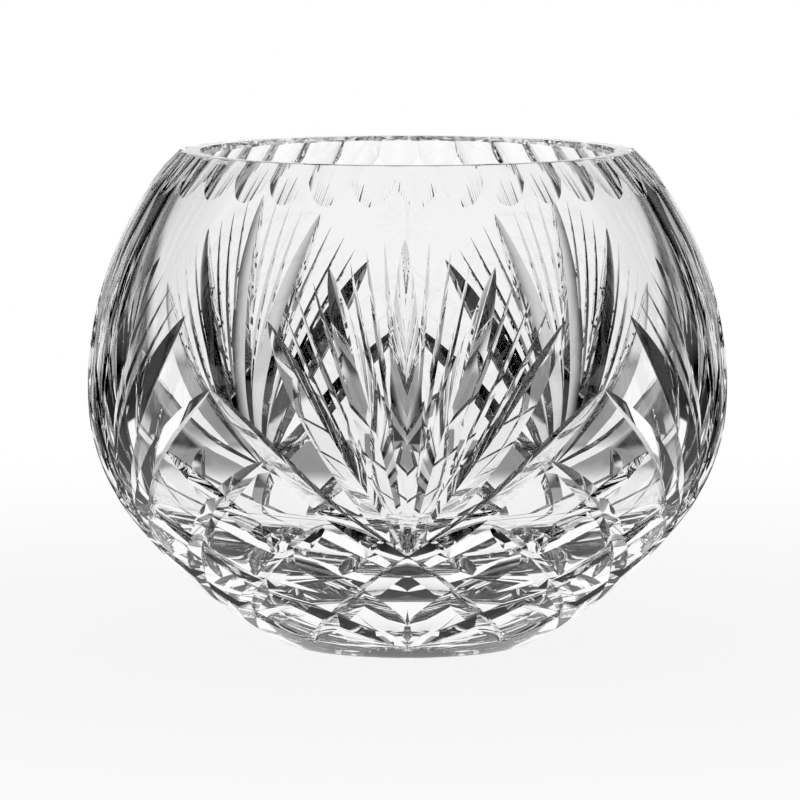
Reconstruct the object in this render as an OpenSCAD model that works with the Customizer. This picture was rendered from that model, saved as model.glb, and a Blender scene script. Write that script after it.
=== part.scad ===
/* [Bowl] */
// Widest diameter, at the belly
bowl_d = 203; // [190:1:220]
// Height from the table to the rim
bowl_h = 156; // [150:1:162]
// Outer diameter of the rim
rim_d = 146; // [140:1:152]
// Diameter of the flat that it stands on
foot_d = 81; // [76:1:88]
// Height of the widest point
belly_z = 80; // [76:1:84]

/* [Lower wall] */
// Radius of the arc just under the belly
haunch_r = 65.5; // [60:0.5:72]
// Angle below the belly at which the flatter foot arc takes over
haunch_angle = 38.5; // [34:0.5:44]

/* [Cavity] */
// Width of the flat rim
rim_w = 9; // [8:0.5:11]
// Wall thickness at the belly
wall = 9; // [8:0.5:11]
// Glass under the middle of the cavity
floor_t = 16; // [14:1:20]
// Radius of the dished floor of the cavity
floor_r = 120; // [112:1:130]
// Bevel between the cavity and the flat of the rim
lip_bevel = 1.8; // [0.5:0.1:2.5]

/* [Pattern] */
// Fans around the bowl, each with its part of the lattice
fans = 5; // [4:1:6]
// Angle between the two faces of a mitre cut
mitre_angle = 104; // [96:1:110]
// Width of a fan's mitres
fan_w = 9.5; // [7:0.5:10]
// Width of the lattice's mitres
lattice_w = 7; // [5:0.5:8]

/* [Rim scallops] */
// Scallops around the rim
scallops = 36; // [30:1:42]
// Radius of the round face of the stone that cuts a scallop
scallop_r = 25; // [20:1:30]
// Height of the bottom of a scallop
scallop_z = 144.3; // [143:0.1:146]
// How far a scallop runs into the top edge of the rim
scallop_bite = 2.2; // [1.6:0.1:2.6]

/* [Base star] */
// Rays of the star under the base
star_rays = 12; // [8:1:16]
// Length of a ray from the middle
star_ray = 34; // [28:1:36]
// Width of a ray
star_w = 4; // [3:0.5:6]
// Depth of the round hollow in the middle of the star
hollow_depth = 1.5; // [1:0.1:2]
// Radius of the stone that grinds the hollow
hollow_r = 30; // [25:1:40]

/* [Hidden] */
$fn = 180;

// Two arcs shape the outer wall above and below the belly. A third, tangent to the lower one, ends at the foot.
belly_r = bowl_d / 2;
shoulder_r = arc_through(belly_r, rim_d / 2, bowl_h - belly_z);
shoulder_x = belly_r - shoulder_r;
haunch_x = belly_r - haunch_r;
haunch_out = [cos(haunch_angle), -sin(haunch_angle)];
join = [haunch_x, belly_z] + haunch_r * haunch_out;
to_foot = [foot_d / 2, 0] - join;
foot_r = -(to_foot * to_foot) / (2 * to_foot * haunch_out);
foot_c = join - foot_r * haunch_out;

// The cavity's wall arcs run a wall's thickness inside.
inner_belly_r = belly_r - wall;
mouth_r = rim_d / 2 - rim_w;
inner_shoulder_r = arc_through(inner_belly_r, mouth_r, bowl_h - belly_z);
past_rim = 10;

// The pattern repeats once a fan, mirrored about the fan's middle.
// Its places are [angle from the fan's middle, height], with the angles laid out for five fans.
repeat = 360 / fans;
stretch = repeat / 72;
half_angle = mitre_angle / 2;

// Where each mitre starts and ends on one side of the fan, from the middle one outwards
fan_starts = [[0, 39.8], [1.1, 41.8], [2.2, 43.8]];
fan_tips = [[0, 135.5], [15.8, 127], [27.4, 110.7]];
// How far the middle of each mitre lies inside the straight line to its tip, in degrees
fan_bow = [0, 1.3, 0];
// Straight stretches along a mitre cutter
fan_steps = 6;

// Mitres of the lattice on one side, from the belly down to the foot
lattice = [
    [[-36, 89.5], [-25.5, 73.5], [-13, 52.5], [0, 36.8], [10.8, 24.4], [22, 14], [36, 5.2]],
    [[-46.5, 68.5], [-36, 55], [-24, 38.5], [-10.8, 24.4], [0, 13.5]],
    [[-56.8, 49.3], [-48, 38.5], [-36, 26.3], [-18, 14], [0, 5.1]]
];
lattice_steps = 8;

// How long a cut keeps its depth before it runs out: 2 fades all the way, and more fades nearer the ends.
fan_fade = 2;
lattice_fade = 5;
// A mitre cutter stands this far out of the glass, and its ends lie a little above the surface.
proud = 1.5;
lift_off = 0.2;
// Depth of a base cutter below the flat of the foot
base_proud = 0.6;
// Angle of the first scallop, beside the front
scallop_start = 2.25;

// Radius of an arc that has its widest point at radius r and passes radius r1 at a height h above it
function arc_through(r, r1, h) = ((r - r1) ^ 2 + h ^ 2) / (2 * (r - r1));

// Centre and radius of the outer wall's arc at height z
function wall_arc(z) =
    z >= belly_z ? [[shoulder_x, belly_z], shoulder_r]
    : z >= join.y ? [[haunch_x, belly_z], haunch_r]
    : [foot_c, foot_r];
function wall_r(z) = let (a = wall_arc(z)) a[0].x + sqrt(a[1] ^ 2 - (z - a[0].y) ^ 2);

// Point on the outer wall at an angle from the front and a height, and the way that the wall faces there
function on_wall(p) = let (r = wall_r(p.y)) [r * sin(p.x), -r * cos(p.x), p.y];
function facing(p) =
    let (a = wall_arc(p.y), out = ([wall_r(p.y), p.y] - a[0]) / a[1])
    [out.x * sin(p.x), -out.x * cos(p.x), out.y];

function unit(v) = v / norm(v);

// Smooth curve through points, at t from 0 to 1
function smooth(pts, t) =
    let (
        last = len(pts) - 1,
        s = min(t * last, last - 0.0001),
        i = floor(s),
        u = s - i,
        p0 = pts[max(i - 1, 0)],
        p1 = pts[i],
        p2 = pts[i + 1],
        p3 = pts[min(i + 2, last)]
    )
    p1 + u * ((p2 - p0) / 2 + u * (p0 - 2.5 * p1 + 2 * p2 - p3 / 2 + u * (1.5 * (p1 - p2) + (p3 - p0) / 2)));

// A mitre cut: a V-shaped bar that follows a route on the wall and runs out at both ends
module mitre(route, width, steps, fade) {
    depth = width / 2 / tan(half_angle);
    path = [for (i = [0:steps]) smooth(route, i / steps)];
    spots = [for (p = path) on_wall(p)];
    corners = [
        for (i = [0:steps])
            let (
                out = facing(path[i]),
                along = unit(spots[min(i + 1, steps)] - spots[max(i - 1, 0)]),
                side = unit(cross(out, along)),
                cut = (depth + lift_off) * (1 - abs(2 * i / steps - 1) ^ fade) - lift_off,
                reach = (cut + proud) * tan(half_angle),
                top = spots[i] + proud * out
            )
            each [spots[i] - cut * out, top + reach * side, top - reach * side]
    ];
    last = 3 * steps;
    faces = [
        [0, 1, 2],
        [last, last + 2, last + 1],
        for (i = [0:steps - 1])
            for (k = [0:2])
                let (a = 3 * i + k, b = 3 * i + (k + 1) % 3)
                each [[a, b + 3, b], [a, a + 3, b + 3]]
    ];
    polyhedron(corners, faces);
}

function on_side(side, p) = [side * stretch * p.x, p.y];

// The mitres on one side of a fan, from the one with the number first
module half_fan(side, first) {
    for (i = [first:len(fan_tips) - 1])
        let (
            start = fan_starts[i],
            tip = fan_tips[i],
            middle = (start + tip) / 2 - [fan_bow[i], 0]
        )
        mitre([for (p = [start, middle, tip]) on_side(side, p)], fan_w, fan_steps, fan_fade);
}

module fan() {
    half_fan(1, 0);
    half_fan(-1, 1);
}

// One line of the lattice and its mirror image
module lattice_pair(line) {
    for (side = [-1, 1])
        mitre([for (p = line) on_side(side, p)], lattice_w, lattice_steps, lattice_fade);
}

module wall_bands(top_r, top_x, mid_r, mid_x, low_r, low_c, top_z) {
    intersection() {
        translate([top_x, belly_z]) circle(top_r);
        translate([0, belly_z]) square([belly_r, top_z - belly_z]);
    }
    intersection() {
        translate([mid_x, belly_z]) circle(mid_r);
        translate([0, join.y]) square([belly_r, belly_z - join.y]);
    }
    intersection() {
        translate(low_c) circle(low_r);
        square([belly_r, join.y]);
    }
}

module cavity_outline() {
    intersection() {
        wall_bands(
            inner_shoulder_r, inner_belly_r - inner_shoulder_r,
            haunch_r - wall, haunch_x, foot_r - wall, foot_c, bowl_h + past_rim
        );
        translate([0, floor_t + floor_r]) circle(floor_r);
    }
    polygon([
        [0, bowl_h - lip_bevel],
        [mouth_r, bowl_h - lip_bevel],
        [mouth_r + lip_bevel + past_rim, bowl_h + past_rim],
        [0, bowl_h + past_rim]
    ]);
}

module blank() {
    rotate_extrude() wall_bands(shoulder_r, shoulder_x, haunch_r, haunch_x, foot_r, foot_c, bowl_h);
}

module cavity() {
    rotate_extrude() cavity_outline();
}

// One scallop: a flute that starts at the bottom height and leans into the rim's top edge
module scallop() {
    low = [wall_r(scallop_z), scallop_z];
    high = [rim_d / 2 - scallop_bite, bowl_h];
    along = high - low;
    lean = atan(-along.x / along.y);
    translate([low.x, 0, low.y])
        rotate([0, -lean, 0])
            translate([scallop_r, 0, -scallop_r])
                cylinder(r = scallop_r, h = 3 * scallop_r);
}

// One cut of the star: a V across the middle of the base that runs out at both tips, which makes two rays
module star_cut() {
    depth = star_w / 2 / tan(half_angle);
    half_w = star_w / 2;
    polyhedron(
        [
            [-star_ray, 0, 0], [0, half_w, 0], [star_ray, 0, 0], [0, -half_w, 0], [0, 0, depth],
            [-star_ray, 0, -base_proud], [0, half_w, -base_proud],
            [star_ray, 0, -base_proud], [0, -half_w, -base_proud]
        ],
        [
            [4, 1, 0], [4, 2, 1], [4, 3, 2], [4, 0, 3],
            [5, 6, 7, 8],
            [0, 1, 6, 5], [1, 2, 7, 6], [2, 3, 8, 7], [3, 0, 5, 8]
        ]
    );
}

// The pattern under the base: a star round a ground-out hollow
module star() {
    for (k = [0:star_rays / 2 - 1]) rotate([0, 0, k * 360 / star_rays]) star_cut();
    translate([0, 0, hollow_depth - hollow_r]) sphere(hollow_r);
}

module without_lattice() {
    difference() {
        difference() {
            blank();
            cavity();
            star();
        }
        for (k = [0:fans - 1]) rotate([0, 0, k * repeat]) fan();
        for (k = [0:scallops - 1]) rotate([0, 0, scallop_start + k * 360 / scallops]) scallop();
    }
}

// The lattice is ground one pair of lines at a time, fan after fan.
module with_lattice(pairs) {
    lines = len(lattice);
    if (pairs == 0) without_lattice();
    else difference() {
        with_lattice(pairs - 1);
        rotate([0, 0, floor((pairs - 1) / lines) * repeat])
            lattice_pair(lattice[(pairs - 1) % lines]);
    }
}

module bowl() {
    color("gainsboro") with_lattice(fans * len(lattice));
}

bowl();
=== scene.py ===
"""A cut crystal rose bowl: its glass, floor, light and camera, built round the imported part."""

import math

import bmesh
import bpy
from mathutils import Matrix, Vector


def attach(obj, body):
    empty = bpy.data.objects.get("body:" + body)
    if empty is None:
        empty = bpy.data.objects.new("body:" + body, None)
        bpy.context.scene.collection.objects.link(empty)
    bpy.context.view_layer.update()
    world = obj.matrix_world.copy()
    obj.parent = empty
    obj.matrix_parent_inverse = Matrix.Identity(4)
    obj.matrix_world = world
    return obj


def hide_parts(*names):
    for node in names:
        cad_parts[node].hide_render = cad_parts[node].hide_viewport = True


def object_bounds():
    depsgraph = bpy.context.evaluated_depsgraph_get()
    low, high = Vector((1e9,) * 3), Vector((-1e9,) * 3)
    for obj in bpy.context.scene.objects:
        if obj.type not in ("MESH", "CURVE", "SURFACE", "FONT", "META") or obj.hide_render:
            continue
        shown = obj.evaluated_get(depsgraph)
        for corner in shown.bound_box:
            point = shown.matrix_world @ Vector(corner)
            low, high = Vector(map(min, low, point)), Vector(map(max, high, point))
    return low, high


bl_info = {
    "name": "Cut Crystal Rose Bowl",
    "version": (1, 0, 0),
    "blender": (4, 5, 0),
    "location": "3D View > Sidebar > Rose Bowl",
    "description": "Builds a cut crystal rose bowl with fans, a lattice, a scalloped rim and a star base",
    "category": "Add Mesh",
}

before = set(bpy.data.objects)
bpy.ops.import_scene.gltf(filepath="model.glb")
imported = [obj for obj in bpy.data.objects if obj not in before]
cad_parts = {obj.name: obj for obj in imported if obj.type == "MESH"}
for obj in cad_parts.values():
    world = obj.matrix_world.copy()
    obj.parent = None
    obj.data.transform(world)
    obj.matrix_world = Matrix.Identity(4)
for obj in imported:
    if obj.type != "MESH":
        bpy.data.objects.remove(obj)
CAD_LOW, CAD_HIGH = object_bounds()

MM = 0.001
# Mesh attribute that carries the true direction of each surface through the cutting
TRUE_NORMAL = "polish_direction"
# Points closer together than this are merged
WELD = 1e-7


class BowlSizes(bpy.types.PropertyGroup):
    """Sizes of the glass blank before it is cut."""

    width: bpy.props.FloatProperty(
        name="Width", description="Widest diameter", unit="LENGTH", default=203 * MM
    )
    height: bpy.props.FloatProperty(
        name="Height", description="From the table to the rim", unit="LENGTH", default=CAD_HIGH.z
    )
    rim_width: bpy.props.FloatProperty(
        name="Rim", description="Outer diameter of the rim", unit="LENGTH", default=146 * MM
    )
    foot_width: bpy.props.FloatProperty(
        name="Foot", description="Diameter of the flat under the base", unit="LENGTH", default=81 * MM
    )
    belly_height: bpy.props.FloatProperty(
        name="Belly", description="Height of the widest point", unit="LENGTH", default=80 * MM
    )
    haunch: bpy.props.FloatProperty(
        name="Haunch", description="Radius of the arc just under the belly", unit="LENGTH", default=65.5 * MM
    )
    haunch_angle: bpy.props.FloatProperty(
        name="Haunch angle",
        description="Angle below the belly at which the flatter foot arc takes over",
        subtype="ANGLE",
        default=math.radians(38.5),
    )
    rim_flat: bpy.props.FloatProperty(
        name="Rim flat", description="Width of the rim's top, with its bevel", unit="LENGTH", default=9 * MM
    )
    wall: bpy.props.FloatProperty(
        name="Wall", description="Glass thickness at the belly", unit="LENGTH", default=9 * MM
    )
    floor: bpy.props.FloatProperty(
        name="Floor", description="Glass under the middle of the cavity", unit="LENGTH", default=16 * MM
    )
    dish: bpy.props.FloatProperty(
        name="Dish", description="Radius of the dished floor of the cavity", unit="LENGTH", default=120 * MM
    )
    bevel: bpy.props.FloatProperty(
        name="Lip bevel", description="Bevel inside the rim", unit="LENGTH", default=1.8 * MM
    )


class CutSizes(bpy.types.PropertyGroup):
    """Sizes of the wheel cuts."""

    fans: bpy.props.IntProperty(name="Fans", description="Fans around the bowl", default=5)
    mitre: bpy.props.FloatProperty(
        name="Mitre", description="Half the angle of a mitre cut", subtype="ANGLE", default=math.radians(52)
    )
    blade: bpy.props.FloatProperty(
        name="Blade", description="Width of a fan's main mitres", unit="LENGTH", default=9.8 * MM
    )
    fine: bpy.props.FloatProperty(
        name="Fine cut", description="Width of a fan's fine cuts", unit="LENGTH", default=2 * MM
    )
    lattice: bpy.props.FloatProperty(
        name="Lattice", description="Width of the lattice mitres", unit="LENGTH", default=7 * MM
    )
    scallops: bpy.props.IntProperty(name="Scallops", description="Scallops around the rim", default=36)
    scallop_stone: bpy.props.FloatProperty(
        name="Scallop stone", description="Radius of a scallop's hollow", unit="LENGTH", default=25 * MM
    )
    scallop_foot: bpy.props.FloatProperty(
        name="Scallop foot", description="Height of a scallop's bottom", unit="LENGTH", default=144.3 * MM
    )
    scallop_bite: bpy.props.FloatProperty(
        name="Scallop bite", description="Scallop depth at the rim's top", unit="LENGTH", default=2.2 * MM
    )
    rays: bpy.props.IntProperty(name="Star rays", description="Rays of the star under the base", default=12)
    ray: bpy.props.FloatProperty(
        name="Star ray", description="Length of a ray", unit="LENGTH", default=34 * MM
    )
    ray_width: bpy.props.FloatProperty(
        name="Ray width", description="Width of a ray at the middle", unit="LENGTH", default=4 * MM
    )
    hollow_stone: bpy.props.FloatProperty(
        name="Hollow stone", description="Radius of the base hollow's curve", unit="LENGTH", default=30 * MM
    )
    hollow: bpy.props.FloatProperty(
        name="Hollow", description="Depth of the hollow in the base", unit="LENGTH", default=1.5 * MM
    )


class StageLook(bpy.types.PropertyGroup):
    """Floor, light and camera."""

    floor_colour: bpy.props.FloatVectorProperty(
        name="Floor", description="Colour of the floor", subtype="COLOR", size=3, default=(0.72, 0.72, 0.72)
    )
    camera_distance: bpy.props.FloatProperty(
        name="Camera distance", description="From the look-at point", unit="LENGTH", default=1.6235
    )
    camera_tilt: bpy.props.FloatProperty(
        name="Camera tilt", description="Angle above the horizon", subtype="ANGLE", default=math.radians(6.83)
    )
    look_at: bpy.props.FloatProperty(
        name="Look at", description="Height that the camera looks at", unit="LENGTH", default=75 * MM
    )
    lens: bpy.props.FloatProperty(name="Lens", description="Focal length in millimetres", default=229.8)


class Wall:
    """The outer wall's outline: an arc above the belly, one below it and a flatter one down to the foot."""

    def __init__(self, sizes):
        self.top = sizes.height
        self.belly = sizes.belly_height
        self.belly_radius = sizes.width / 2
        rise = self.top - self.belly
        shoulder = arc_through(self.belly_radius, sizes.rim_width / 2, rise)
        self.shoulder = (Vector((self.belly_radius - shoulder, self.belly)), shoulder)
        self.haunch = (Vector((self.belly_radius - sizes.haunch, self.belly)), sizes.haunch)
        outward = Vector((math.cos(sizes.haunch_angle), -math.sin(sizes.haunch_angle)))
        self.join = self.haunch[0] + sizes.haunch * outward
        to_foot = Vector((sizes.foot_width / 2, 0)) - self.join
        flat_arc = -to_foot.length_squared / (2 * to_foot.dot(outward))
        self.foot = (self.join - flat_arc * outward, flat_arc)

    def arc(self, height):
        if height >= self.belly:
            return self.shoulder
        return self.haunch if height >= self.join.y else self.foot

    def radius(self, height):
        centre, radius = self.arc(height)
        return centre.x + math.sqrt(radius**2 - (height - centre.y) ** 2)

    def point(self, angle, height):
        return turned(self.radius(height), angle, height)

    def facing(self, angle, height):
        centre, radius = self.arc(height)
        out = (Vector((self.radius(height), height)) - centre) / radius
        return turned(out.x, angle, out.y)


def arc_through(widest, radius, rise):
    """Radius of an arc that is upright at the widest radius and passes the other one a rise above it."""
    return ((widest - radius) ** 2 + rise**2) / (2 * (widest - radius))


def turned(radius, angle, height):
    """A point or direction at an angle in degrees from the front, which is -Y, towards +X."""
    a = math.radians(angle)
    return Vector((radius * math.sin(a), -radius * math.cos(a), height))


def steps_between(low, high, count):
    return [low + (high - low) * i / count for i in range(count + 1)]


def smooth_route(points, t):
    """Catmull-Rom curve through the points, at t from 0 to 1."""
    last = len(points) - 1
    s = min(t * last, last - 1e-6)
    i = int(s)
    u = s - i
    p0, p1, p2, p3 = (Vector(points[min(max(k, 0), last)]) for k in (i - 1, i, i + 1, i + 2))
    square = p0 - 2.5 * p1 + 2 * p2 - p3 / 2
    cube = 1.5 * (p1 - p2) + (p3 - p0) / 2
    return p1 + u * ((p2 - p0) / 2 + u * (square + u * cube))


# The blank

# Facets round the glass
FACETS = 288
# Steps along each part of its outline, outside and inside
BASE_STEPS, FOOT_STEPS, HAUNCH_STEPS, SHOULDER_STEPS = 14, 30, 26, 46
INNER_SHOULDER_STEPS, INNER_HAUNCH_STEPS, DISH_STEPS = 30, 18, 22
# How much the outer edges of the foot and the rim are softened, and the points there in shares of that
SOFT = 0.35 * MM
FOOT_SOFTENING = ((-1, 0.15), (0, 0.6))
RIM_SOFTENING = ((-0.3, -0.25), (-1, 0))
# Height of the lip's bevel as a share of its width
BEVEL_RISE = 0.53
# From the middle of the cavity's floor up to the edge of its dish
DISH_RISE = 24 * MM


def blank_outline(sizes, wall):
    """Half section of the blank, from the middle of the base round the rim to the middle of the cavity."""
    rise = wall.top - wall.belly
    inner_belly = wall.belly_radius - sizes.wall
    mouth = sizes.rim_width / 2 - sizes.rim_flat
    inner_shoulder = arc_through(inner_belly, mouth, rise)

    def inner_radius(height):
        if height >= wall.belly:
            return inner_belly - inner_shoulder + math.sqrt(inner_shoulder**2 - (height - wall.belly) ** 2)
        centre, radius = wall.arc(height)
        side = centre.x + math.sqrt((radius - sizes.wall) ** 2 - (height - centre.y) ** 2)
        drop = max(sizes.floor + sizes.dish - height, 0)
        dish = math.sqrt(max(sizes.dish**2 - drop**2, 0))
        return min(side, dish)

    foot_edge = sizes.foot_width / 2
    outline = [(r, 0) for r in steps_between(0, foot_edge - 2 * SOFT, BASE_STEPS)]
    outline += [(foot_edge + out * SOFT, up * SOFT) for out, up in FOOT_SOFTENING]
    outline += [(wall.radius(z), z) for z in steps_between(2 * SOFT, wall.join.y, FOOT_STEPS)]
    outline += [(wall.radius(z), z) for z in steps_between(wall.join.y, wall.belly, HAUNCH_STEPS)[1:]]
    shoulder = steps_between(wall.belly, wall.top - SOFT, SHOULDER_STEPS)[1:]
    outline += [(wall.radius(z), z) for z in shoulder]
    rim_edge = wall.radius(wall.top)
    outline += [(rim_edge + out * SOFT, wall.top + up * SOFT) for out, up in RIM_SOFTENING]
    outline += [(mouth + sizes.bevel, wall.top)]
    bevel_foot = wall.top - BEVEL_RISE * sizes.bevel
    outline += [(inner_radius(bevel_foot), bevel_foot)]
    dish_edge = sizes.floor + DISH_RISE
    inside = steps_between(bevel_foot, wall.belly, INNER_SHOULDER_STEPS)[1:]
    inside += steps_between(wall.belly, dish_edge, INNER_HAUNCH_STEPS)[1:]
    outline += [(inner_radius(z), z) for z in inside]
    dish_centre = sizes.floor + sizes.dish
    dish_radii = steps_between(inner_radius(dish_edge), 0, DISH_STEPS)[1:]
    outline += [(r, dish_centre - math.sqrt(sizes.dish**2 - r**2)) for r in dish_radii]
    return outline


def spin_round(bm, outline, facets):
    bmesh.ops.spin(
        bm, geom=outline, cent=(0, 0, 0), axis=(0, 0, 1), angle=2 * math.pi, steps=facets, use_merge=True
    )


def make_blank(sizes, wall):
    """The uncut glass, spun from its half section."""
    bm = bmesh.new()
    true_normal = bm.loops.layers.float_vector.new(TRUE_NORMAL)
    verts = [bm.verts.new((r, 0, z)) for r, z in blank_outline(sizes, wall)]
    edges = [bm.edges.new(pair) for pair in zip(verts, verts[1:])]
    spin_round(bm, verts + edges, FACETS)
    bmesh.ops.remove_doubles(bm, verts=bm.verts, dist=WELD)
    bmesh.ops.recalc_face_normals(bm, faces=bm.faces)
    bm.normal_update()
    for face in bm.faces:
        face.smooth = True
        for loop in face.loops:
            loop[true_normal] = smooth_normal(face, loop.vert)
    return bm


# Faces that meet at less than this angle are one smooth surface.
CREASE = math.radians(20)


def smooth_normal(face, vert):
    """Mean of the faces that meet the face smoothly at a vertex, which leaves creases sharp."""
    total = Vector()
    for other in vert.link_faces:
        if face.normal.angle(other.normal, 0) < CREASE:
            total += other.normal * other.calc_area()
    return total.normalized()


# Wheel cuts

# How far a cutter stands out of the glass
PROUD = 0.5 * MM
# A bar is a grid rolled round three corners, and it is merged along its seam, where points lie this close.
CORNERS = 3
BAR_WELD = 1e-8


def add_bar(bm, spots, outs, depths, half_angle):
    """A V-shaped bar along the spots: its keel lies a depth under each, and its top stands a little proud."""
    true_normal = bm.loops.layers.float_vector[TRUE_NORMAL]
    last = len(spots) - 1
    spread = math.tan(half_angle)
    corners, sides = [], []
    for i, (spot, out, depth) in enumerate(zip(spots, outs, depths)):
        along = (spots[min(i + 1, last)] - spots[max(i - 1, 0)]).normalized()
        side = out.cross(along).normalized()
        reach = (depth + PROUD) * spread * side
        corners.append((spot - depth * out, spot + PROUD * out + reach, spot + PROUD * out - reach))
        lean = math.cos(half_angle) * side
        rise = math.sin(half_angle) * out
        sides.append((rise - lean, out, rise + lean))
    made = bmesh.ops.create_grid(bm, x_segments=last, y_segments=CORNERS, size=1)["verts"]
    place = {v: (round((v.co.x + 1) / 2 * last), round((v.co.y + 1) / 2 * CORNERS)) for v in made}
    faces = {f for v in made for f in v.link_faces}
    for face in faces:
        face.smooth = True
        face.material_index = 1
        strip = min(place[v][1] for v in face.verts)
        for loop in face.loops:
            loop[true_normal] = sides[place[loop.vert][0]][strip]
    for v in made:
        station, corner = place[v]
        v.co = corners[station][corner % CORNERS]
    bmesh.ops.remove_doubles(bm, verts=made, dist=BAR_WELD)
    open_edges = [e for f in faces for e in f.edges if e.is_boundary]
    bmesh.ops.holes_fill(bm, edges=list(dict.fromkeys(open_edges)), sides=CORNERS)


def add_mitre(bm, wall, route, width, half_angle, stations, fade):
    """A mitre cut along a route of (degrees, millimetres) on the wall, running out at both ends.

    The higher the fade, the longer the cut keeps its full width.
    """
    path = [smooth_route(route, i / stations) for i in range(stations + 1)]
    spots = [wall.point(a, z * MM) for a, z in path]
    outs = [wall.facing(a, z * MM) for a, z in path]
    deepest = width / 2 / math.tan(half_angle)
    depths = [deepest * (1 - abs(2 * i / stations - 1) ** fade) for i in range(stations + 1)]
    add_bar(bm, spots, outs, depths, half_angle)


# Places in the pattern: degrees from a fan's middle, and millimetres above the table
FAN_ROOT = 36.8
BLADE_TIPS = ((0, 135.5), (15.8, 127), (27.4, 110.7))
FINE_TIPS = ((4.4, 134.6), (8.1, 131.7), (11.4, 129), (18.8, 122.7), (21.9, 118.8), (24.4, 114.5))
OUTER_TIP = BLADE_TIPS[-1][0]
# How far the middle of a cut halfway out to the side lies inside the straight line to its tip, in degrees
BOW = 1.3
# Degrees from the front to the first scallop's middle
SCALLOP_START = 2.25
# How far the outer tips of each fan lean past its middle tip, as the cutter's hand left them, in degrees
LEANS = (2.4, -0.9, 0.7, -0.6, 1.1)
# All its tips are set back by that lean divided by this.
LEAN_BACK = 5
LATTICE = (
    ((-36, 89.5), (-25.5, 73.5), (-13, 52.5), (0, 36.8), (10.8, 24.4), (22, 14), (36, 5.2)),
    ((-46.5, 68.5), (-36, 55), (-24, 38.5), (-10.8, 24.4), (0, 13.5)),
    ((-56.8, 49.3), (-48, 38.5), (-36, 26.3), (-18, 14), (0, 5.1)),
)
# Stretches along a cut: on a blade, a fine cut, each leg of the lattice and a cut of the star
BLADE_STRETCHES, FINE_STRETCHES, LATTICE_STRETCHES, STAR_STRETCHES = 28, 18, 10, 12
# How long a cut keeps its depth before it runs out
FAN_FADE, LATTICE_FADE = 2, 5


def add_fan(bm, wall, cuts, middle, lean):
    """One fan: five main mitres and the fine cuts between them, all from one root."""
    blades = (BLADE_TIPS, cuts.blade, BLADE_STRETCHES)
    fine_cuts = (FINE_TIPS, cuts.fine, FINE_STRETCHES)
    for tips, width, stations in (blades, fine_cuts):
        for angle, height in tips:
            for side in (-1, 1) if angle else (1,):
                share = angle / OUTER_TIP
                tip = side * angle + lean * share - lean / LEAN_BACK
                bow = side * BOW * math.sin(math.pi * share)
                route = (
                    (middle, FAN_ROOT),
                    (middle + tip / 2 - bow, (FAN_ROOT + height) / 2),
                    (middle + tip, height),
                )
                add_mitre(bm, wall, route, width, cuts.mitre, stations, FAN_FADE)


def add_lattice(bm, wall, cuts, middle):
    """The lattice lines that belong to one fan, each with its mirror image."""
    for line in LATTICE:
        stations = LATTICE_STRETCHES * (len(line) - 1)
        for side in (-1, 1):
            route = [(middle + side * angle, height) for angle, height in line]
            add_mitre(bm, wall, route, cuts.lattice, cuts.mitre, stations, LATTICE_FADE)


# A scallop's cutter: half its width, and how far its lid stands out
SCALLOP_REACH = 8 * MM
SCALLOP_LID = 9 * MM
# Its length in scallops, and how far its middle lies above the scallop's foot, in its own lengths
SCALLOP_LENGTH = 2.2
SCALLOP_MIDDLE = 0.25
# Its facets across and along
SCALLOP_COLUMNS, SCALLOP_ROWS = 14, 6


def add_scallop(bm, wall, cuts, angle):
    """A flute in the shoulder: a bar with a round underside that leans into the rim's top edge."""
    true_normal = bm.loops.layers.float_vector[TRUE_NORMAL]
    low = Vector((wall.radius(cuts.scallop_foot), cuts.scallop_foot))
    high = Vector((wall.radius(wall.top) - cuts.scallop_bite, wall.top))
    along = (high - low).normalized()
    out = Vector((along.y, -along.x))
    stone = cuts.scallop_stone
    sweep = math.asin(SCALLOP_REACH / stone)
    length = SCALLOP_LENGTH * (high - low).length
    grid = bmesh.ops.create_grid(bm, x_segments=SCALLOP_COLUMNS, y_segments=SCALLOP_ROWS, size=1)
    made = grid["verts"]
    faces = list({f for v in made for f in v.link_faces})
    spin = Matrix.Rotation(math.radians(angle), 3, "Z")

    def to_bowl(side, run, rise):
        spot = low + along * run + out * rise
        return spin @ Vector((side, -spot.x, spot.y))

    inward = {}
    for v in made:
        turn = sweep * v.co.x
        run = (v.co.y / 2 + SCALLOP_MIDDLE) * length
        v.co = to_bowl(stone * math.sin(turn), run, stone * (1 - math.cos(turn)))
        inward[v] = (to_bowl(0, run, stone) - v.co).normalized()
    for face in faces:
        face.smooth = True
        face.material_index = 1
        for loop in face.loops:
            loop[true_normal] = inward[loop.vert]
    rim = [e for f in faces for e in f.edges if e.is_boundary]
    lid = bmesh.ops.extrude_edge_only(bm, edges=list(dict.fromkeys(rim)))["geom"]
    lift = spin @ Vector((0, -out.x, out.y)) * SCALLOP_LID
    top = [g for g in lid if isinstance(g, bmesh.types.BMVert)]
    bmesh.ops.translate(bm, verts=top, vec=lift)
    top_edges = [g for g in lid if isinstance(g, bmesh.types.BMEdge) and g.is_boundary]
    bmesh.ops.contextual_create(bm, geom=top_edges)


# Facets of the hollow in the base, from its middle out and round it
HOLLOW_RINGS, HOLLOW_FACETS = 8, 96


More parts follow.
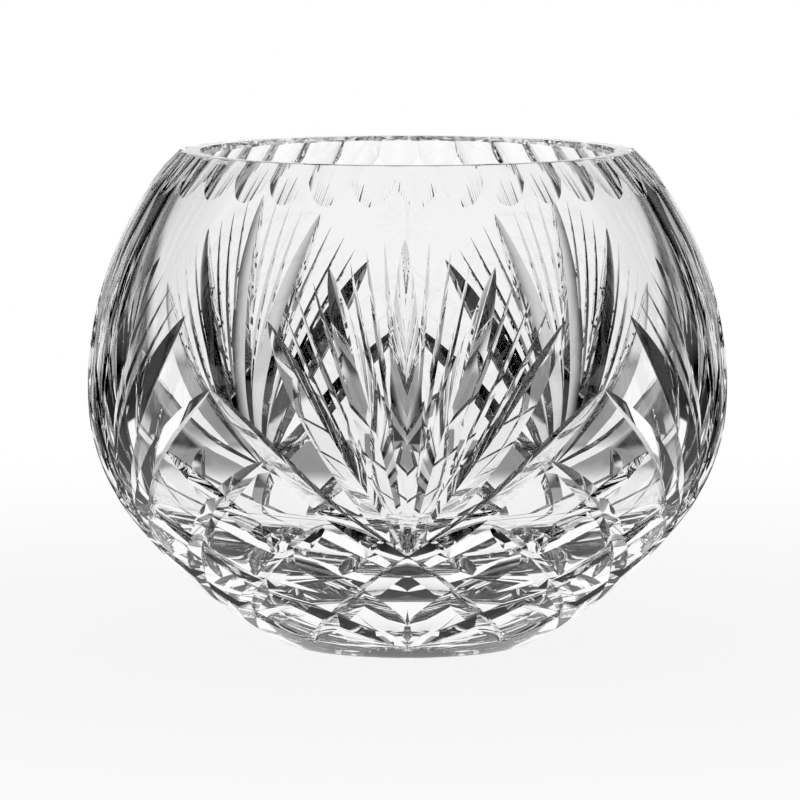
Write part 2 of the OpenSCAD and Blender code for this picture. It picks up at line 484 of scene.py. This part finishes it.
def add_star(bm, cuts):
    """The star under the base: cuts across the middle, round a ground-out hollow."""
    deepest = cuts.ray_width / 2 / math.tan(cuts.mitre)
    places = steps_between(-1, 1, STAR_STRETCHES)
    for k in range(cuts.rays // 2):
        reach = turned(cuts.ray, k * 360 / cuts.rays, 0)
        add_bar(
            bm,
            [reach * s for s in places],
            [Vector((0, 0, -1))] * len(places),
            [deepest * (1 - abs(s)) for s in places],
            cuts.mitre,
        )
    true_normal = bm.loops.layers.float_vector[TRUE_NORMAL]
    centre = Vector((0, 0, cuts.hollow - cuts.hollow_stone))
    sweep = math.acos((cuts.hollow_stone - cuts.hollow - PROUD) / cuts.hollow_stone)
    outward = [Vector((math.sin(a), 0, math.cos(a))) for a in steps_between(0, sweep, HOLLOW_RINGS)]
    arc = [bm.verts.new(centre + cuts.hollow_stone * v) for v in outward]
    arc.append(bm.verts.new((0, 0, -PROUD)))
    edges = [bm.edges.new(pair) for pair in zip(arc, arc[1:])]
    before = set(bm.faces)
    spin_round(bm, arc + edges, HOLLOW_FACETS)
    faces = [f for f in bm.faces if f not in before]
    verts = list({v for f in faces for v in f.verts})
    for face in faces:
        face.smooth = True
        face.material_index = 1
        for loop in face.loops:
            loop[true_normal] = (centre - loop.vert.co).normalized()
    bmesh.ops.remove_doubles(bm, verts=verts, dist=WELD)


def make_cutters(wall, cuts):
    """Every wheel cut as one mesh of closed bars."""
    bm = bmesh.new()
    bm.loops.layers.float_vector.new(TRUE_NORMAL)
    for k in range(cuts.fans):
        middle = k * 360 / cuts.fans
        add_fan(bm, wall, cuts, middle, LEANS[k % len(LEANS)])
        add_lattice(bm, wall, cuts, middle)
    for k in range(cuts.scallops):
        add_scallop(bm, wall, cuts, SCALLOP_START + k * 360 / cuts.scallops)
    add_star(bm, cuts)
    bmesh.ops.triangulate(bm, faces=bm.faces)
    bmesh.ops.recalc_face_normals(bm, faces=bm.faces)
    return bm


def as_object(bm, name):
    mesh = bpy.data.meshes.new(name)
    bm.to_mesh(mesh)
    bm.free()
    piece = bpy.data.objects.new(name, mesh)
    bpy.context.scene.collection.objects.link(piece)
    return piece


def cut_away(blank, cutters):
    """Grinds the cutters out of the blank and keeps the result as its mesh."""
    grind = blank.modifiers.new("wheel cuts", "BOOLEAN")
    grind.operation = "DIFFERENCE"
    grind.solver = "EXACT"
    grind.use_self = True
    grind.object = cutters
    graph = bpy.context.evaluated_depsgraph_get()
    cut = bpy.data.meshes.new_from_object(blank.evaluated_get(graph))
    blank.modifiers.clear()
    whole = blank.data
    blank.data = cut
    bpy.data.meshes.remove(whole)
    tools = cutters.data
    bpy.data.objects.remove(cutters)
    bpy.data.meshes.remove(tools)


def polish(mesh):
    """Sets each corner's normal to the true one of the ground or blown surface that it lies on."""
    directions = [Vector(d.vector).normalized() for d in mesh.attributes[TRUE_NORMAL].data]
    mesh.normals_split_custom_set(directions)
    mesh.attributes.remove(mesh.attributes[TRUE_NORMAL])


# Materials


class Value:
    """A shader socket, so that maths on it is written as an expression."""

    def __init__(self, shader, socket):
        self.shader = shader
        self.socket = socket

    def maths(self, operation, *others):
        return self.shader.node("ShaderNodeMath", {"operation": operation}, [self, *others])

    def __add__(self, other):
        return self.maths("ADD", other)

    def __sub__(self, other):
        return self.maths("SUBTRACT", other)

    def __mul__(self, other):
        return self.maths("MULTIPLY", other)

    def __truediv__(self, other):
        return self.maths("DIVIDE", other)

    def __radd__(self, other):
        return self + other

    def __rsub__(self, other):
        return self.shader.node("ShaderNodeMath", {"operation": "SUBTRACT"}, [other, self])

    def __rmul__(self, other):
        return self * other

    def ramp(self, low, high, to_low=0.0, to_high=1.0):
        """Eased step from to_low, where this is low, to to_high, where it is high."""
        return self.shader.node(
            "ShaderNodeMapRange", {"interpolation_type": "SMOOTHSTEP"}, [self, low, high, to_low, to_high]
        )


class Shader:
    """A node tree that is filled one node at a time."""

    def __init__(self, owner):
        owner.use_nodes = True
        self.tree = owner.node_tree
        self.tree.nodes.clear()

    def node(self, kind, settings=None, inputs=None, output=0):
        made = self.tree.nodes.new(kind)
        for name, setting in (settings or {}).items():
            setattr(made, name, setting)
        named = inputs.items() if isinstance(inputs, dict) else enumerate(inputs or [])
        for name, value in named:
            if isinstance(value, Value):
                self.tree.links.new(value.socket, made.inputs[name])
            else:
                made.inputs[name].default_value = value
        return Value(self, made.outputs[output]) if made.outputs else made


CRYSTAL_INDEX = 1.545
CRYSTAL_COLOUR = (0.997, 0.998, 0.998, 1)
# Smears of haze on the glass: how many to the metre, and the noise level where they begin and are full
SMEARS = 90.0
SMEAR_EDGE = (0.45, 0.75)


def crystal(name, roughness, ripple, ripple_size):
    """Clear crystal whose surface ripples a little and holds a faint uneven haze, up to the roughness."""
    material = bpy.data.materials.new(name)
    shader = Shader(material)
    place = shader.node("ShaderNodeTexCoord", output="Object")
    ripples = 1 / ripple_size
    waves = shader.node("ShaderNodeTexNoise", inputs={"Vector": place, "Scale": ripples, "Detail": 2.0})
    smears = shader.node("ShaderNodeTexNoise", inputs={"Vector": place, "Scale": SMEARS, "Detail": 4.0})
    bump = shader.node("ShaderNodeBump", inputs={"Strength": 1.0, "Distance": ripple, "Height": waves})
    glass = shader.node(
        "ShaderNodeBsdfPrincipled",
        inputs={
            "Base Color": CRYSTAL_COLOUR,
            "Roughness": smears.ramp(*SMEAR_EDGE, 0.0, roughness),
            "IOR": CRYSTAL_INDEX,
            "Transmission Weight": 1.0,
            "Normal": bump,
        },
    )
    shader.node("ShaderNodeOutputMaterial", inputs={"Surface": glass})
    return material


# Brightness of the room's lit panels and the dark gaps between them, by degrees from straight behind the bowl
ROOM = (
    (0, 1.0), (17, 1.0), (19, 0.0), (23, 0.0), (25, 0.7), (28.5, 0.7), (30.5, 0.0), (35, 0.0),
    (37, 0.9), (40, 0.9), (42, 0.0), (45, 0.0), (47, 1.0), (54, 1.0), (57, 0.0), (74, 0.0),
    (77, 1.0), (103, 1.0), (106, 0.0), (119, 0.0), (122, 1.0), (148, 1.0), (151, 0.0), (163, 0.0),
    (166, 1.0), (180, 1.0),
)
# Through and off the glass the floor shows only painted light: a painted bright patch under the bowl, a
# dimmer painted shade ring round it from the first distances on, and the room's panels painted on as light
# from the second ones.
PAINTED_SHADE_RING_EDGE = (0.16, 0.2)
# Emission levels of the painted bright patch and the painted shade ring
PAINTED_LIGHT_PATCH, PAINTED_SHADE_RING = 1.0, 0.32
PAINTED_PANEL_LIGHT_EDGE = (0.32, 0.36)
# The camera sees the floor nearly white up to the first distance, and white from the second one on.
WHITE_EDGE = (0.12, 0.5)
NEARLY_WHITE = 0.9
# Degrees above the horizon where the panels end, and where the sky begins that lights matt surfaces only
PANEL_TOP = (4.0, 5.0)
SKY_FOOT = (40.0, 50.0)
SKY = 0.8


def panel_light(shader, x, y):
    """Brightness of the room in the direction of x and y, the same on both sides."""
    ramp = shader.node("ShaderNodeValToRGB", inputs=[x.maths("ABSOLUTE").maths("ARCTAN2", y) / math.pi])
    marks = ramp.socket.node.color_ramp.elements
    for mark, (degrees, level) in zip(marks, (ROOM[0], ROOM[-1])):
        mark.position = degrees / 180
        mark.color = (level, level, level, 1)
    for degrees, level in ROOM[1:-1]:
        marks.new(degrees / 180).color = (level, level, level, 1)
    return ramp


def axes_of(shader, vector):
    outputs = shader.node("ShaderNodeSeparateXYZ", inputs=[vector]).socket.node.outputs
    return [Value(shader, outputs[name]) for name in "XYZ"]


def rays_of(shader):
    """Values that are 1 for rays from the camera, through glass and off glass."""
    outputs = shader.node("ShaderNodeLightPath").socket.node.outputs
    return [Value(shader, outputs[f"Is {kind} Ray"]) for kind in ("Camera", "Transmission", "Glossy")]


def floor_with_painted_light(colour):
    """Pale matt floor, whiter to the camera far from the bowl; to the glass it shows painted light instead: a
    bright patch, a shaded ring and the room's panels.
    """
    material = bpy.data.materials.new("pale_floor_with_painted_light")
    shader = Shader(material)
    place = shader.node("ShaderNodeTexCoord", output="Object")
    distance = shader.node("ShaderNodeVectorMath", {"operation": "LENGTH"}, [place], output="Value")
    x, y, _ = axes_of(shader, place)
    seen, bent, mirrored = rays_of(shader)
    matt = shader.node("ShaderNodeBsdfDiffuse", inputs={"Color": (*colour, 1)})
    # Masks for the painted light seen through the glass: far is where the room's panels are painted on the
    # floor as light, near holds the painted bright patch and the painted shade ring.
    far = distance.ramp(*PAINTED_PANEL_LIGHT_EDGE)
    near = distance.ramp(*PAINTED_SHADE_RING_EDGE, PAINTED_LIGHT_PATCH, PAINTED_SHADE_RING)
    # Emission level: white to the camera, and to other rays the painted light of the bright patch, the shade
    # ring and the panels.
    white_and_painted_light = (far * panel_light(shader, x, y) + (1.0 - far) * near) * (1.0 - seen) + seen
    white_and_painted_light_emission = shader.node("ShaderNodeEmission", inputs={"Color": white_and_painted_light, "Strength": 1.0})
    # Rays through and off the glass see only this painted light, not the lit matt floor.
    through_glass = (bent + mirrored).maths("MINIMUM", 1.0)
    share = (seen * distance.ramp(*WHITE_EDGE, NEARLY_WHITE, 1.0)).maths("MAXIMUM", through_glass)
    mixed = shader.node("ShaderNodeMixShader", inputs=[share, matt, white_and_painted_light_emission])
    shader.node("ShaderNodeOutputMaterial", inputs={"Surface": mixed})
    return material


def studio_light(world):
    """White all round for the camera, lit panels near the horizon, and a soft sky for matt surfaces only."""
    shader = Shader(world)
    look = shader.node("ShaderNodeTexCoord", output="Generated")
    x, y, z = axes_of(shader, look)
    seen, bent, mirrored = rays_of(shader)
    height = z.maths("ARCSINE") * (180 / math.pi)
    panels = height.ramp(*PANEL_TOP, 1.0, 0.0) * panel_light(shader, x, y)
    top = height.ramp(*SKY_FOOT)
    sky = SKY * (1.0 - bent) * (1.0 - mirrored)
    level = (panels * (1.0 - top) + top * sky) * (1.0 - seen) + seen
    light = shader.node("ShaderNodeBackground", inputs={"Color": level, "Strength": 1.0})
    shader.node("ShaderNodeOutputWorld", inputs={"Surface": light})


# Operators


# The blown surface and the ground ones, with their haze, and the height and size of their ripples
FINISHES = (("blown_crystal", 0.02, 0.02 * MM, 30 * MM), ("cut_crystal", 0.03, 0.004 * MM, 6 * MM))


class ROSEBOWL_OT_bowl(bpy.types.Operator):
    """Spin the blank and grind every cut into it"""

    bl_idname = "rosebowl.bowl"
    bl_label = "Crystal bowl"

    def execute(self, context):
        sizes, cuts = context.scene.rosebowl_sizes, context.scene.rosebowl_cuts
        wall = Wall(sizes)
        bowl = as_object(make_blank(sizes, wall), "cut_crystal_bowl")
        cutters = as_object(make_cutters(wall, cuts), "cutters")
        cut_away(bowl, cutters)
        polish(bowl.data)
        bowl.data.materials.clear()
        for name, roughness, ripple, ripple_size in FINISHES:
            bowl.data.materials.append(crystal(name, roughness, ripple, ripple_size))
        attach(bowl, "root")
        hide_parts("bowl")
        return {"FINISHED"}


# The floor is a disc, a little below the foot.
FLOOR_RADIUS = 6.0
FLOOR_SEGMENTS = 96
FLOOR_GAP = 0.3 * MM
# Where the photograph's frame sits off the bowl's middle, in frame widths
FRAME_SHIFT = (-0.0093, 0.0055)
# How often a ray may bounce, in all, through glass and off glass
BOUNCES, GLASS_BOUNCES, MIRROR_BOUNCES = 40, 36, 12


class ROSEBOWL_OT_stage(bpy.types.Operator):
    """Lay the floor, light the room and set the camera"""

    bl_idname = "rosebowl.stage"
    bl_label = "Stage"

    def execute(self, context):
        look = context.scene.rosebowl_look
        bm = bmesh.new()
        bmesh.ops.create_circle(bm, cap_ends=True, segments=FLOOR_SEGMENTS, radius=FLOOR_RADIUS)
        bmesh.ops.translate(bm, verts=bm.verts, vec=(0, 0, -FLOOR_GAP))
        floor = as_object(bm, "floor")
        floor.data.materials.append(floor_with_painted_light(look.floor_colour))

        world = bpy.data.worlds.new("studio")
        studio_light(world)
        scene = context.scene
        scene.world = world
        scene.view_settings.view_transform = "Standard"
        scene.cycles.max_bounces = BOUNCES
        scene.cycles.transmission_bounces = GLASS_BOUNCES
        scene.cycles.glossy_bounces = MIRROR_BOUNCES

        camera = bpy.data.objects.new("camera", bpy.data.cameras.new("camera"))
        scene.collection.objects.link(camera)
        camera.data.lens = look.lens
        camera.data.shift_x, camera.data.shift_y = FRAME_SHIFT
        back = Vector((0, -math.cos(look.camera_tilt), math.sin(look.camera_tilt)))
        camera.location = Vector((0, 0, look.look_at)) + look.camera_distance * back
        camera.rotation_euler = (math.pi / 2 - look.camera_tilt, 0, 0)
        scene.camera = camera
        return {"FINISHED"}


class ROSEBOWL_PT_panel(bpy.types.Panel):
    """Buttons for the bowl and its stage"""

    bl_idname = "ROSEBOWL_PT_panel"
    bl_label = "Rose Bowl"
    bl_space_type = "VIEW_3D"
    bl_region_type = "UI"
    bl_category = "Rose Bowl"

    def draw(self, context):
        for operator in (ROSEBOWL_OT_bowl, ROSEBOWL_OT_stage):
            self.layout.operator(operator.bl_idname)
        for group in (context.scene.rosebowl_sizes, context.scene.rosebowl_cuts, context.scene.rosebowl_look):
            for name in group.bl_rna.properties.keys():
                if name not in ("rna_type", "name"):
                    self.layout.prop(group, name)


CLASSES = (BowlSizes, CutSizes, StageLook, ROSEBOWL_OT_bowl, ROSEBOWL_OT_stage, ROSEBOWL_PT_panel)


def register():
    for cls in CLASSES:
        bpy.utils.register_class(cls)
    bpy.types.Scene.rosebowl_sizes = bpy.props.PointerProperty(type=BowlSizes)
    bpy.types.Scene.rosebowl_cuts = bpy.props.PointerProperty(type=CutSizes)
    bpy.types.Scene.rosebowl_look = bpy.props.PointerProperty(type=StageLook)


def unregister():
    del bpy.types.Scene.rosebowl_sizes
    del bpy.types.Scene.rosebowl_cuts
    del bpy.types.Scene.rosebowl_look
    for cls in reversed(CLASSES):
        bpy.utils.unregister_class(cls)


def main():
    register()
    bpy.ops.rosebowl.bowl()
    bpy.ops.rosebowl.stage()


if __name__ == "__main__":
    main()
